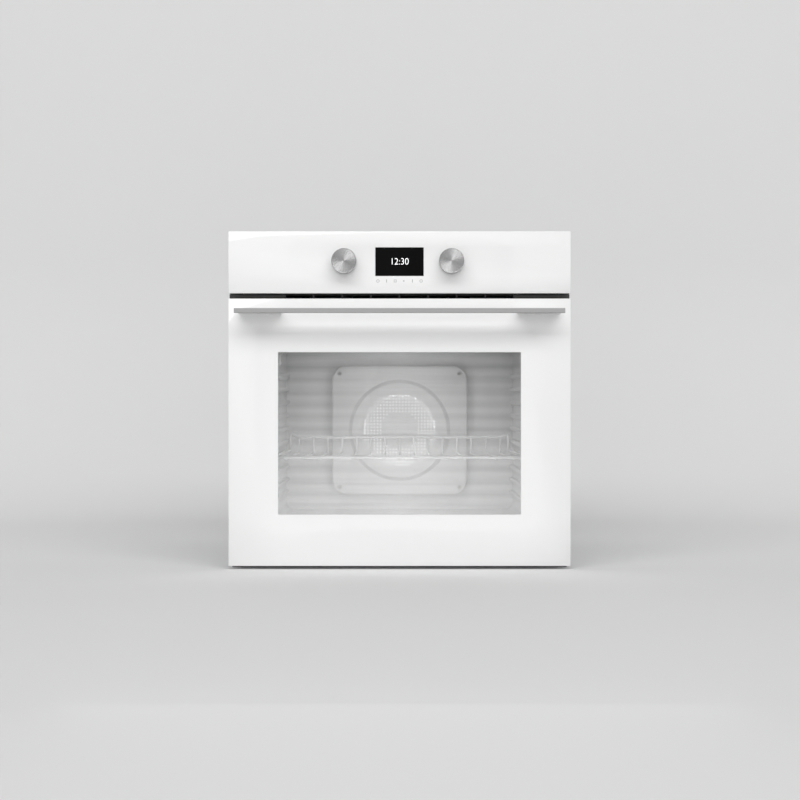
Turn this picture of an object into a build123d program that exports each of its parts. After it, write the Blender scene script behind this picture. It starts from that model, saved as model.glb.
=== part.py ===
from build123d import *
import os
from math import cos, radians, sin

# Built-in oven, millimetres. X runs to the right, Y to the rear, Z up.
# Origin: middle of the front edge of the base, where the casing meets the cabinet's front.

# Front, as it is seen
front_width = 595.0
door_height = 465.0
vent_gap = 9.0  # between door and control panel
panel_height = 108.0
base_gap = 5.0  # door's lower edge above the base
front_reach = 22.0  # glass faces ahead of the cabinet's front
glass_thickness = 4.0
glass_round = 1.2
print_thickness = 0.2  # fired print on the back of the front glasses
window_width = 421.6
window_height = 281.6
window_rise = 89.8  # above the door's lower edge
window_round = 3.0

# Casing
sheet = 1.0
front_overhang = 19.5  # front glass beyond the casing, each side
casing_depth = 545.0
casing_drop = 15.0  # casing's top below the panel's top
fold = 12.0  # folded edges of the side panels
slot_width = 4.0  # cooling slots
slot_length = 36.0
slot_pitch = 10.0
slot_rows = 12
screw_r = 1.9
screw_head_r = 4.0
screw_head = 2.2
screw_play = 0.15

# Front frame
flange_inset = 4.5  # inside the glass edge
flange_drop = 1.0  # below the door's upper edge
cabinet_screw_out = 9.0  # cabinet screws beyond the casing's side
cabinet_screw_r = 2.25
cabinet_screw_low = 60.0
cabinet_screw_span = 350.0
pocket_depth = 20.0
pocket_play = 4.0  # round the door's frame
pocket_floor_play = 2.0

# Cavity
side_space = 46.0  # casing's side to the cavity
floor_rise = 65.0  # cavity floor above the door's lower edge
ceiling_drop = 54.0  # cavity ceiling below the door's upper edge
rear_space = 114.0  # rear wall of the cavity to the rear cover
cavity_round = 18.0
first_rib = 36.2  # above the cavity floor
rib_pitch = 26.0
rib_count = 10
rib_height = 9.0
rib_depth = 8.0
rib_end = 22.0  # ribs stop short of the mouth and of the rear wall
insulation = 22.0
insulation_play = 0.5
gasket_width = 8.0
gasket_inset = 2.0
gasket_round = 2.4
running_gap = 0.3

# Door frame and glasses
frame_lap = 28.0  # stiles beyond the cavity
frame_drop = 12.0
frame_rise = 13.0
frame_depth = 25.8
stile_width = 20.0
channel_wall = 1.5
top_rail_height = 22.0
bottom_rail_height = 16.0
rail_slots = 8
inner_thickness = 4.0
inner_low_lap = 46.0  # inner glass below the cavity
inner_top_lap = 34.0
middle_thickness = 3.0
middle_place = 12.0  # behind the front glass
middle_side_play = 2.0

# Hinges
hinge_back = 12.0  # axis behind the glass face
hinge_rise = 7.0  # axis above the door's lower edge
hinge_side = 8.0  # middle of the hinge inside the stile's outer face
hinge_pin_r = 3.0
hinge_play = 0.08
arm_thickness = 4.0
arm_gap = 1.0
arm_eye_r = 5.5
arm_height = 12.0
arm_rise = 13.0  # arm's lower edge above the axis
arm_reach = 72.0  # behind the cabinet's front
cheek = 2.0
cheek_eye_r = 6.0
hinge_body_height = 128.0
socket_height = 34.0
socket_drop = 8.0  # below the arm
roller_r = 3.0
roller_from_end = 14.0
spring_r = 2.7
spring_length = 72.0

# Handle
handle_inset = 14.5  # bar's end inside the glass edge
handle_height = 8.0
handle_depth = 12.0
handle_reach = 46.0  # bar's face ahead of the glass
handle_drop = 23.3  # bar's middle below the door's upper edge
post_width = 75.0
post_height = 7.0
post_lap = 36.0  # post over the top rail
handle_screw_r = 2.5
handle_screw_head_r = 4.5
handle_screw_head = 3.5
handle_screw_bite = 12.0
handle_screw_pitch = 16.0
handle_screw_in = 8.0

# Control panel
housing_inset = 7.5
housing_edge = 2.0
housing_wall = 1.5
board_half = 130.0
board_height = 74.0
board_thickness = 1.6
board_back = 7.4  # board's rear face ahead of the cabinet's front
peg_r = 3.0
peg_inset = 8.0
display_width = 83.7
display_height = 49.4
display_rim = 4.0
control_rise = 55.0  # knobs and display above the panel's lower edge
left_knob_x = -96.0
right_knob_x = 90.0
knob_r = 21.5
knob_reach = 22.0
knob_gap = 1.2
knob_wall = 2.0
knob_face = 2.5
knob_round = 0.6
hub_r = 6.4
stem_r = 3.0
stem_play = 0.08
stem_depth = 11.0  # behind the glass face
encoder_size = 14.0
bushing_r = 4.6
bushing_play = 0.6
bushing_reach = 2.0

# Vent grille
grille_inset = 0.5
grille_back = 14.0  # face behind the glass faces
grille_wall = 2.0
grille_foot = 1.3
grille_top_gap = 1.2
grille_tab = 22.0  # end tabs behind the face, up to the control housing
grille_tab_back = 5.0
grille_tab_gap = 0.2
vent_slots = 8
vent_pitch = 50.0
vent_bar = 3.0
vent_edge = 0.8

# Convection fan, its cover and the heaters
fan_rise = 162.0  # axis above the cavity floor
cover_width = 275.0
cover_height = 263.0
cover_round = 30.0
cover_depth = 26.0
dome_r = 103.0
dome_top_r = 96.0
dome_height = 6.0
hole_r = 1.75
hole_pitch = 6.4
hole_ring_outer = 73.0
hole_ring_inner = 38.0
cover_screw_in = 16.0
fan_r = 72.0
fan_blades = 8
fan_hub_r = 11.0
fan_disc_r = 66.0
fan_sheet = 1.2
fan_blade_start = 20.0
fan_clear = 8.0  # in front of and behind the fan
shaft_r = 4.0
shaft_play = 0.3
shaft_length = 64.0
motor_leg_r = 4.0
motor_leg = 25.0
motor_leg_x = 50.0
motor_leg_z = 35.0
motor_plate = 2.0
motor_plate_margin = 10.0
motor_width = 76.0
motor_height = 64.0
motor_depth = 40.0
heater_r = 3.25
heater_play = 0.3
heater_tail = 34.0
sleeve_r = 4.2  # cold ends of the ring heater
ring_r = 90.0
ring_back = 16.0  # ahead of the rear wall
ring_gap_angle = 18.0
grill_runs = 6
grill_pitch = 64.0
grill_drop = 18.0  # below the ceiling
grill_front = 45.0
grill_rear = 48.0
grill_bend = 30.0
hanger_width = 12.0
hanger_thickness = 1.6
hanger_in = 40.0
hanger_lap = 12.0
base_runs = 4
base_pitch = 90.0
base_bend = 40.0
base_seat = 0.2
base_margin = 50.0
probe_x = 128.0
probe_r = 2.5
probe_reach = 70.0
probe_collar_r = 6.0
probe_collar = 3.0

# Lamp in the left wall
lamp_from_rear = 270.0
lamp_drop = 42.0  # below the ceiling
lens_flange_r = 20.0
lens_flange = 3.0
lens_r = 16.0
lens_dome = 9.0
lens_wall = 2.0
holder_r = 13.0
holder_play = 0.5
holder_depth = 24.0
holder_wall = 2.0
holder_flange_r = 18.0
bulb_r = 6.0
bulb_stem_r = 4.0

# Wire shelf
shelf_level = 3  # rests on this rib, counted from 0
rail_r = 3.0
wire_r = 2.0
wire_count = 15
wire_side_gap = 23.0  # outermost wires inside the frame
weld = 0.5
wire_overhang = 4.0
shelf_side_play = 3.0
shelf_front = 25.0  # behind the cavity's mouth
shelf_rear = 45.0  # ahead of the rear wall
shelf_corner = 15.5
ear_height = 34.0
ear_width = 16.0
stop_height = 26.0
ear_bend = 6.0
ear_play = 0.5  # inside the ribs
ear_taper = 30.0

# Cooling air, deck and power
deck_gap = 29.0  # above the cavity ceiling
duct_half = 206.0
duct_ramp = 44.0
duct_back = 250.0
duct_rise = 50.0  # roof above the deck at the rear
blower_y = 300.0
blower_rise = 42.0  # axis above the deck
blower_length = 180.0
blower_r = 26.0
blower_blades = 20
blower_blade = 7.0
blower_sheet = 1.0
blower_clear = 9.0
blower_disc = 2.0
blower_end_gap = 4.0
blower_shaft_r = 3.0
blower_shaft_play = 0.1
blower_motor_size = 44.0
blower_motor_length = 42.0
blower_shaft_bite = 18.0
gland_side = 78.0  # gland's axis inside the casing's side
gland_rise = 54.0  # above the deck
gland_bore_r = 6.0
gland_r = 10.0
gland_flange_r = 15.0
gland_out = 8.0
gland_in = 9.0
gland_nut = 4.0
gland_play = 0.15
block_width = 60.0
block_depth = 26.0
block_height = 24.0
block_from_rear = 40.0
block_ways = 5
block_way_r = 3.0

# Places that follow from the sizes above
door_low = base_gap
door_high = door_low + door_height
panel_low = door_high + vent_gap
panel_high = panel_low + panel_height
glass_face = -front_reach
glass_back = glass_face + glass_thickness
print_back = glass_back + print_thickness
casing_half = front_width / 2 - front_overhang
casing_high = panel_high - casing_drop
cavity_half = casing_half - side_space
cavity_low = door_low + floor_rise
cavity_high = door_high - ceiling_drop
cavity_back = casing_depth - sheet - rear_space
wall_half = cavity_half + sheet  # outside of the cavity's sheet
wall_back = cavity_back + sheet
flange_half = front_width / 2 - flange_inset
flange_high = door_high - flange_drop
stile_outer = cavity_half + frame_lap
stile_inner = stile_outer - stile_width
frame_low = door_low + frame_rise
frame_high = door_high - frame_drop
frame_back = print_back + frame_depth
bottom_rail_high = frame_low + bottom_rail_height
top_rail_low = frame_high - top_rail_height
pocket_half = stile_outer + pocket_play
pocket_low = frame_low - pocket_floor_play
pocket_high = frame_high + pocket_play
hinge_y = glass_face + hinge_back
hinge_z = door_low + hinge_rise
hinge_x = stile_outer - hinge_side
hinge_half = arm_thickness / 2 + arm_gap + cheek
arm_low = hinge_z + arm_rise
arm_high = arm_low + arm_height
inner_half = hinge_x - hinge_half - arm_gap * 2
inner_back = frame_back + inner_thickness
deck_low = cavity_high + deck_gap
deck_high = deck_low + sheet
housing_half = front_width / 2 - housing_inset
housing_low = panel_low + housing_edge
housing_high = panel_high - housing_edge
control_z = panel_low + control_rise
knob_face_y = glass_face - knob_reach
knob_base_y = glass_face - knob_gap
board_front = -board_back - board_thickness
fan_z = cavity_low + fan_rise
cover_front = cavity_back - cover_depth
dome_front = cover_front - dome_height
fan_front = cover_front + fan_clear - dome_height / 2
fan_rear = cavity_back - fan_clear
motor_front = wall_back + motor_leg
grill_z = cavity_high - grill_drop
probe_z = grill_z
lamp_y = cavity_back - lamp_from_rear
lamp_z = cavity_high - lamp_drop
shelf_z = cavity_low + first_rib + shelf_level * rib_pitch + rib_height / 2 + running_gap + rail_r
shelf_half = cavity_half - shelf_side_play - rail_r
shelf_y = pocket_depth + shelf_front
shelf_back = cavity_back - shelf_rear
wire_pitch = 2 * (shelf_half - wire_side_gap) / (wire_count - 1)
ear_x = cavity_half - rib_depth - ear_play - rail_r
blower_z = deck_high + blower_rise
gland_x = gland_side - casing_half
gland_z = deck_high + gland_rise
sides = (("left", -1), ("right", 1))

os.makedirs("parts", exist_ok=True)


def save(piece, name):
    piece.part.label = name
    export_step(piece.part, f"parts/{name}.step")


def front_plane(y):
    # upright plane at depth y, drawn as seen from the front; a positive extrusion comes forwards
    return Plane.XZ.offset(-y)


def block(x, y, z, mode=Mode.ADD):
    # box between the two limits given along each axis
    with Locations(((x[0] + x[1]) / 2, (y[0] + y[1]) / 2, (z[0] + z[1]) / 2)):
        Box(abs(x[1] - x[0]), abs(y[1] - y[0]), abs(z[1] - z[0]), mode=mode)


def rod_y(radius, x, y, z, mode=Mode.ADD):
    # round bar along Y between two depths
    with Locations(Location((x, (y[0] + y[1]) / 2, z), (90, 0, 0))):
        Cylinder(radius, abs(y[1] - y[0]), mode=mode)


def rod_x(radius, x, y, z, mode=Mode.ADD):
    # round bar along X between two places
    with Locations(Location(((x[0] + x[1]) / 2, y, z), (0, 90, 0))):
        Cylinder(radius, abs(x[1] - x[0]), mode=mode)


def rounded_plate(y, width, low, high, radius, mode=Mode.ADD):
    # upright plate with round corners between two depths
    with BuildSketch(front_plane(y[1])) as outline:
        with Locations((0, (low + high) / 2)):
            RectangleRounded(width, high - low, radius)
    extrude(outline.sketch, amount=y[1] - y[0], mode=mode)


def bent_wire(points, bends, radius):
    # round wire along straight runs with bends between them
    with BuildLine() as run:
        FilletPolyline(*points, radius=bends)
    with BuildSketch(Plane(origin=run.line @ 0, z_dir=run.line % 0)) as section:
        Circle(radius)
    sweep(section.sketch, path=run.line)


def runs_back_and_forth(count, pitch, front, rear, height):
    # corner points of a flat heater that starts and ends at the rear
    points = []
    for run in range(count):
        x = (run - (count - 1) / 2) * pitch
        ends = (rear, front) if run % 2 == 0 else (front, rear)
        points += [(x, end, height) for end in ends]
    return points


# Casing
with BuildPart() as base_pan:
    block((sheet - casing_half, casing_half - sheet), (-sheet, casing_depth), (0, sheet))
    with BuildSketch(Plane.XY):
        with Locations((0, casing_depth / 2)):
            with GridLocations(slot_pitch, slot_length * 2, slot_rows, 2):
                SlotOverall(slot_length, slot_width, rotation=90)
    extrude(amount=sheet, mode=Mode.SUBTRACT)
save(base_pan, "base_pan")

rear_screws = [
    (sign * (casing_half - sheet - fold / 2), sheet + fold + step * (casing_high - 2 * (sheet + fold)) / 3)
    for sign in (-1, 1)
    for step in range(4)
]
for side, sign in sides:
    with BuildPart() as side_panel:
        block((sign * (casing_half - sheet), sign * casing_half), (0, casing_depth), (0, casing_high - sheet))
        inner, outer = sign * (casing_half - sheet - fold), sign * (casing_half - sheet)
        block((inner, outer), (casing_depth - 2 * sheet, casing_depth - sheet), (sheet, casing_high - sheet))
        block((inner, outer), (0, casing_depth - sheet), (casing_high - 2 * sheet, casing_high - sheet))
        for x, z in rear_screws:
            if x * sign > 0:
                rod_y(screw_r, x, (casing_depth - 3 * sheet, casing_depth), z, Mode.SUBTRACT)
        with BuildSketch(Plane.YZ.offset(sign * casing_half)):
            with Locations((casing_depth / 2, cavity_low)):
                with GridLocations(slot_pitch, slot_length, slot_rows, 1):
                    SlotOverall(slot_length, slot_width, rotation=90)
        extrude(amount=-sign * sheet, mode=Mode.SUBTRACT)
    save(side_panel, f"{side}_side_panel")

with BuildPart() as rear_cover:
    block(
        (sheet - casing_half, casing_half - sheet),
        (casing_depth - sheet, casing_depth),
        (sheet, casing_high - sheet),
    )
    through = (casing_depth - 2 * sheet, casing_depth + sheet)
    for x, z in rear_screws:
        rod_y(screw_r + screw_play, x, through, z, Mode.SUBTRACT)
    rod_y(gland_r + gland_play, gland_x, through, gland_z, Mode.SUBTRACT)
    with BuildSketch(front_plane(casing_depth)):
        with Locations((0, fan_z)):
            with GridLocations(slot_pitch, slot_length * 2, slot_rows * 2, 3):
                SlotOverall(slot_length, slot_width, rotation=90)
    extrude(amount=sheet, mode=Mode.SUBTRACT)
save(rear_cover, "rear_cover")

with BuildPart() as top_cover:
    block((-casing_half, casing_half), (0, casing_depth), (casing_high - sheet, casing_high))
    with BuildSketch(Plane.XY.offset(casing_high)):
        with Locations((0, blower_y)):
            with GridLocations(slot_pitch, slot_length * 2, slot_rows, 2):
                SlotOverall(slot_length, slot_width, rotation=90)
    extrude(amount=-sheet, mode=Mode.SUBTRACT)
save(top_cover, "top_cover")

with BuildPart() as deck:
    block(
        (sheet - casing_half, casing_half - sheet),
        (pocket_depth, casing_depth - 2 * sheet),
        (deck_low, deck_high),
    )
save(deck, "deck")

# Front frame: screw flange, pocket for the door's frame, and the plate round the cavity's mouth
with BuildPart() as front_frame:
    block((-flange_half, flange_half), (-sheet, 0), (sheet, flange_high))
    block(
        (-pocket_half - sheet, pocket_half + sheet),
        (-sheet, pocket_depth),
        (pocket_low - sheet, pocket_high + sheet),
    )
    pocket = (-sheet, pocket_depth - sheet)
    block((-pocket_half, pocket_half), pocket, (pocket_low, pocket_high), Mode.SUBTRACT)
    mouth = (pocket_depth - sheet, pocket_depth)
    rounded_plate(mouth, 2 * cavity_half, cavity_low, cavity_high, cavity_round, Mode.SUBTRACT)
    for side, sign in sides:
        block(
            (sign * (hinge_x - hinge_half), sign * (hinge_x + hinge_half)),
            mouth,
            (arm_low - arm_gap * 2, arm_high + arm_gap * 2),
            Mode.SUBTRACT,
        )
        for z in (cabinet_screw_low, cabinet_screw_low + cabinet_screw_span):
            x = sign * (casing_half + cabinet_screw_out)
            rod_y(cabinet_screw_r, x, (-2 * sheet, sheet), z, Mode.SUBTRACT)
save(front_frame, "front_frame")

# Cavity with its ribbed side walls
ring_angle = radians(ring_gap_angle / 2)
ring_end_x = ring_r * sin(ring_angle)
ring_end_z = fan_z - ring_r * cos(ring_angle)
ring_y = cavity_back - ring_back
grill_end_x = (grill_runs - 1) / 2 * grill_pitch
cover_screws = [
    (i * (cover_width / 2 - cover_screw_in), fan_z + k * (cover_height / 2 - cover_screw_in))
    for i in (-1, 1)
    for k in (-1, 1)
]
with BuildPart() as cavity_liner:
    rounded_plate(
        (pocket_depth, wall_back),
        2 * wall_half,
        cavity_low - sheet,
        cavity_high + sheet,
        cavity_round + sheet,
    )
    hollow = (pocket_depth, cavity_back)
    rounded_plate(hollow, 2 * cavity_half, cavity_low, cavity_high, cavity_round, Mode.SUBTRACT)
    rib_profile_y = pocket_depth + rib_end
    for side, sign in sides:
        for rib in range(rib_count):
            rib_z = cavity_low + first_rib + rib * rib_pitch
            with BuildSketch(front_plane(cavity_back - rib_end)) as rib_profile:
                with BuildLine():
                    Polyline(
                        (sign * (cavity_half + sheet / 2), rib_z - rib_height / 2 - rib_depth / 4),
                        (sign * (cavity_half - rib_depth), rib_z - rib_height / 2 + rib_depth / 4),
                        (sign * (cavity_half - rib_depth), rib_z + rib_height / 2),
                        (sign * (cavity_half + sheet / 2), rib_z + rib_height / 2),
                        close=True,
                    )
                make_face()
                crest = rib_profile.vertices().filter_by_position(
                    Axis.X, -cavity_half + rib_depth / 2, cavity_half - rib_depth / 2
                )
                fillet(crest, rib_depth / 5)
            extrude(amount=cavity_back - rib_end - rib_profile_y)
    through = (cavity_back - sheet, wall_back + sheet)
    rod_y(shaft_r * 2, 0, through, fan_z, Mode.SUBTRACT)
    for sign in (-1, 1):
        rod_y(sleeve_r + heater_play, sign * ring_end_x, through, ring_end_z, Mode.SUBTRACT)
        rod_y(heater_r + heater_play, sign * grill_end_x, through, grill_z, Mode.SUBTRACT)
    rod_y(probe_r + heater_play, probe_x, through, probe_z, Mode.SUBTRACT)
    for x, z in cover_screws:
        rod_y(screw_r, x, through, z, Mode.SUBTRACT)
    rod_x(holder_r + holder_play, (-wall_half - sheet, -cavity_half + sheet), lamp_y, lamp_z, Mode.SUBTRACT)
save(cavity_liner, "cavity_liner")

with BuildPart() as door_gasket:
    ring = (inner_back + running_gap, pocket_depth - sheet)
    outer = gasket_inset + gasket_width
    rounded_plate(
        ring, 2 * (cavity_half + outer), cavity_low - outer, cavity_high + outer, cavity_round + outer
    )
    fillet(door_gasket.faces().sort_by(Axis.Y)[0].edges(), gasket_round)
    rounded_plate(
        ring,
        2 * (cavity_half + gasket_inset),
        cavity_low - gasket_inset,
        cavity_high + gasket_inset,
        cavity_round + gasket_inset,
        Mode.SUBTRACT,
    )
    fillet(door_gasket.faces().sort_by(Axis.Y)[0].inner_wires().edges(), gasket_round)
save(door_gasket, "door_gasket")

# Insulation, with room under the floor for the base heater
base_heater_z = cavity_low - sheet - base_seat - heater_r
with BuildPart() as insulation_wrap:
    wrap = (pocket_depth + sheet, cavity_back)
    play = sheet + insulation_play
    seat = base_heater_z - heater_r - base_seat
    rounded_plate(
        wrap,
        2 * (cavity_half + play + insulation),
        seat - insulation,
        cavity_high + play + insulation,
        cavity_round + insulation,
    )
    rounded_plate(wrap, 2 * (cavity_half + play), seat, cavity_high + play, cavity_round, Mode.SUBTRACT)
    rod_x(
        holder_flange_r + insulation_play,
        (-cavity_half - play - 2 * insulation, -cavity_half),
        lamp_y,
        lamp_z,
        Mode.SUBTRACT,
    )
    for side, sign in sides:
        block(
            (sign * (hinge_x - hinge_half - 2 * arm_gap), sign * casing_half),
            (0, arm_reach + 3 * arm_gap + cheek),
            (0, arm_low - socket_drop + socket_height + arm_gap),
            Mode.SUBTRACT,
        )
save(insulation_wrap, "insulation_wrap")

with BuildPart() as rear_insulation:
    bed = (wall_back + insulation_play, motor_front - insulation_play)
    rounded_plate(
        bed, 2 * cavity_half - cavity_round, cavity_low, grill_z - heater_r - cavity_round / 2, cavity_round
    )
    rod_y(motor_leg_x + motor_leg_z / 2, 0, bed, fan_z, Mode.SUBTRACT)
    block((-ring_end_x * 2, ring_end_x * 2), bed, (ring_end_z - ring_end_x, fan_z), Mode.SUBTRACT)
    for x, z in cover_screws:
        rod_y(screw_head_r, x, bed, z, Mode.SUBTRACT)
save(rear_insulation, "rear_insulation")

# Fan cover: a tray with a dome, and a ring of round holes in a square grid
with BuildPart() as fan_cover:
    cover_low = fan_z - cover_height / 2
    rounded_plate((cover_front, cavity_back), cover_width, cover_low, cover_low + cover_height, cover_round)
    fillet(fan_cover.faces().sort_by(Axis.Y)[0].edges(), sheet * 4)
    with BuildSketch(front_plane(cover_front)):
        with Locations((0, fan_z)):
            Circle(dome_r)
    with BuildSketch(front_plane(dome_front)):
        with Locations((0, fan_z)):
            Circle(dome_top_r)
    loft()
    offset(amount=-sheet, openings=fan_cover.faces().sort_by(Axis.Y)[-1])
    grid = int(hole_ring_outer / hole_pitch)
    holes = [
        (i * hole_pitch, fan_z + k * hole_pitch)
        for i in range(-grid, grid + 1)
        for k in range(-grid, grid + 1)
        if hole_ring_inner < Vector(i, k).length * hole_pitch < hole_ring_outer
    ]
    with BuildSketch(front_plane(dome_front + 2 * sheet)):
        with Locations(*holes):
            Circle(hole_r)
    extrude(amount=3 * sheet, mode=Mode.SUBTRACT)
    for x, z in cover_screws:
        rod_y(screw_r + screw_play, x, (cover_front - sheet, cover_front + 2 * sheet), z, Mode.SUBTRACT)
save(fan_cover, "fan_cover")

with BuildPart() as panel_screws:
    for x, z in rear_screws:
        rod_y(screw_head_r, x, (casing_depth, casing_depth + screw_head), z)
        rod_y(screw_r, x, (casing_depth - 2 * sheet, casing_depth), z)
    for x, z in cover_screws:
        rod_y(screw_head_r, x, (cover_front - screw_head, cover_front), z)
        rod_y(screw_r, x, (cover_front, wall_back + 2 * sheet), z)
    fillet(panel_screws.edges().filter_by(GeomType.CIRCLE).group_by(Axis.Y)[-1], screw_head / 3)
    fillet(panel_screws.edges().filter_by(GeomType.CIRCLE).group_by(Axis.Y)[0], screw_head / 3)
save(panel_screws, "panel_screws")

# Convection fan and its motor
with BuildPart() as convection_fan:
    rod_y(shaft_r, 0, (fan_front, fan_front + shaft_length), fan_z)
    rod_y(fan_hub_r, 0, (fan_front, fan_rear), fan_z)
    rod_y(fan_disc_r, 0, (fan_rear - fan_sheet, fan_rear), fan_z)
    with Locations(Plane(origin=(0, (fan_front + fan_rear) / 2, fan_z), x_dir=(1, 0, 0), z_dir=(0, 1, 0))):
        with PolarLocations((fan_blade_start + fan_r) / 2, fan_blades):
            Box(fan_r - fan_blade_start, fan_sheet, fan_rear - fan_front)
save(convection_fan, "convection_fan")

with BuildPart() as fan_motor:
    plate = (motor_front, motor_front + motor_plate)
    half_x = motor_leg_x + motor_plate_margin
    half_z = motor_leg_z + motor_plate_margin
    block((-half_x, half_x), plate, (fan_z - half_z, fan_z + half_z))
    block(
        (-motor_width / 2, motor_width / 2),
        (plate[1], plate[1] + motor_depth),
        (fan_z - motor_height / 2, fan_z + motor_height / 2),
    )
    fillet(fan_motor.faces().sort_by(Axis.Y)[-1].edges(), motor_plate * 2)
    for x in (-motor_leg_x, motor_leg_x):
        for z in (fan_z - motor_leg_z, fan_z + motor_leg_z):
            rod_y(motor_leg_r, x, (wall_back, motor_front), z)
    bore = (motor_front, fan_front + shaft_length + motor_plate)
    rod_y(shaft_r + shaft_play, 0, bore, fan_z, Mode.SUBTRACT)
save(fan_motor, "fan_motor")

# Heaters
with BuildPart() as ring_heater:
    start = Vector(ring_end_x, ring_y, ring_end_z)
    radial = Vector(ring_end_x, 0, ring_end_z - fan_z)
    with BuildSketch(Plane(origin=start, x_dir=radial, z_dir=radial.cross(Vector(0, 1, 0)))):
        Circle(heater_r)
    revolve(axis=Axis((0, ring_y, fan_z), (0, -1, 0)), revolution_arc=360 - ring_gap_angle)
    for sign in (-1, 1):
        rod_y(sleeve_r, sign * ring_end_x, (ring_y - sleeve_r, wall_back + heater_tail), ring_end_z)
save(ring_heater, "ring_heater")

grill_first = pocket_depth + grill_front
with BuildPart() as grill_heater:
    bends = runs_back_and_forth(grill_runs, grill_pitch, grill_first, cavity_back - grill_rear, grill_z)
    tail = wall_back + heater_tail
    bends[0] = (bends[0][0], tail, grill_z)
    bends[-1] = (bends[-1][0], tail, grill_z)
    bent_wire(bends, grill_bend, heater_r)
save(grill_heater, "grill_heater")

with BuildPart() as grill_hanger:
    hanger_half = grill_end_x + hanger_lap
    hanger_top = grill_z - heater_r - heater_play
    hanger_y = (grill_first + hanger_in, grill_first + hanger_in + hanger_width)
    block((-hanger_half, hanger_half), hanger_y, (hanger_top - hanger_thickness, hanger_top))
    for sign in (-1, 1):
        block(
            (sign * (hanger_half - hanger_thickness), sign * hanger_half),
            hanger_y,
            (hanger_top - hanger_thickness, cavity_high),
        )
        block(
            (sign * hanger_half, sign * (hanger_half + hanger_lap)),
            hanger_y,
            (cavity_high - hanger_thickness, cavity_high),
        )
save(grill_hanger, "grill_hanger")

with BuildPart() as base_heater:
    bends = runs_back_and_forth(
        base_runs, base_pitch, pocket_depth + base_margin, cavity_back - base_margin, base_heater_z
    )
    tail = cavity_back - base_margin / 5
    bends[0] = (bends[0][0], tail, base_heater_z)
    bends[-1] = (bends[-1][0], tail, base_heater_z)
    bent_wire(bends, base_bend, heater_r)
save(base_heater, "base_heater")

with BuildPart() as temperature_probe:
    rod_y(probe_r, probe_x, (cavity_back - probe_reach, wall_back + heater_tail), probe_z)
    rod_y(probe_collar_r, probe_x, (cavity_back - probe_collar, cavity_back), probe_z)
    fillet(temperature_probe.edges().group_by(Axis.Y)[0], probe_r * 0.9)
save(temperature_probe, "temperature_probe")

# Lamp: holder through the wall, bulb, and a glass lens inside the cavity
with BuildPart() as lamp_holder:
    rod_x(holder_r, (-wall_half - holder_depth, -cavity_half), lamp_y, lamp_z)
    rod_x(holder_flange_r, (-wall_half - holder_wall, -wall_half), lamp_y, lamp_z)
    socket_floor = holder_wall - wall_half - holder_depth
    rod_x(holder_r - holder_wall, (socket_floor, -cavity_half), lamp_y, lamp_z, Mode.SUBTRACT)
save(lamp_holder, "lamp_holder")

with BuildPart() as lamp_bulb:
    rod_x(bulb_stem_r, (socket_floor, -cavity_half - bulb_r), lamp_y, lamp_z)
    with Locations((-cavity_half - bulb_r, lamp_y, lamp_z)):
        Sphere(bulb_r)
save(lamp_bulb, "lamp_bulb")

with BuildPart() as lamp_lens:
    rod_x(lens_flange_r, (-cavity_half, lens_flange - cavity_half), lamp_y, lamp_z)
    rod_x(lens_r, (-cavity_half, lens_flange + lens_dome - cavity_half), lamp_y, lamp_z)
    fillet(lamp_lens.edges().group_by(Axis.X)[-1], lens_dome * 0.7)
    lens_room = (-cavity_half, lens_flange + lens_dome - lens_wall - cavity_half)
    rod_x(holder_r - holder_wall, lens_room, lamp_y, lamp_z, Mode.SUBTRACT)
save(lamp_lens, "lamp_lens")

# Wire shelf: a bent frame with a raised stop at the rear, and wires welded under it
with BuildPart() as wire_shelf:
    half_frame = (
        (0, shelf_y, shelf_z),
        (shelf_half, shelf_y, shelf_z),
        (shelf_half, shelf_back - ear_taper, shelf_z),
        (ear_x, shelf_back, shelf_z),
        (ear_x, shelf_back, shelf_z + ear_height),
        (ear_x - ear_width, shelf_back, shelf_z + stop_height),
        (0, shelf_back, shelf_z + stop_height),
    )
    bent_wire(half_frame, (shelf_corner, shelf_corner, ear_bend, rail_r + weld, ear_bend), rail_r)
    mirror(about=Plane.YZ)
    wire_z = shelf_z - rail_r - wire_r + weld
    wire_back = shelf_back - rail_r - wire_r + weld
    for wire in range(wire_count):
        x = (wire - (wire_count - 1) / 2) * wire_pitch
        path = (
            (x, shelf_y - wire_overhang, wire_z),
            (x, wire_back, wire_z),
            (x, wire_back, shelf_z + stop_height),
        )
        bent_wire(path, ear_bend, wire_r)
    cross = wire_count * wire_pitch / 2
    rod_x(wire_r, (-cross, cross), (shelf_y + shelf_back) / 2, wire_z - 2 * wire_r + weld)
save(wire_shelf, "wire_shelf")

# Door: glasses and frame
with BuildPart() as door_glass:
    block((-front_width / 2, front_width / 2), (glass_face, glass_back), (door_low, door_high))
    fillet(door_glass.faces().sort_by(Axis.Y)[0].edges(), glass_round)
    handle_z = door_high - handle_drop
    post_inner = stile_inner - post_lap
    handle_screws_x = [
        sign * (stile_inner - handle_screw_in - step * handle_screw_pitch)
        for sign in (-1, 1)
        for step in (0, 1)
    ]
    for x in handle_screws_x:
        rod_y(handle_screw_r + bushing_play, x, (glass_face - 1, print_back), handle_z, Mode.SUBTRACT)
save(door_glass, "door_glass")

window_low = door_low + window_rise
with BuildPart() as door_print:
    coat = (glass_back, print_back)
    block((-front_width / 2, front_width / 2), coat, (door_low, door_high))
    window_high = window_low + window_height
    rounded_plate(coat, window_width, window_low, window_high, window_round, Mode.SUBTRACT)
    for x in handle_screws_x:
        rod_y(handle_screw_r + bushing_play, x, (glass_back - 1, print_back + 1), handle_z, Mode.SUBTRACT)
save(door_print, "door_print")

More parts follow.
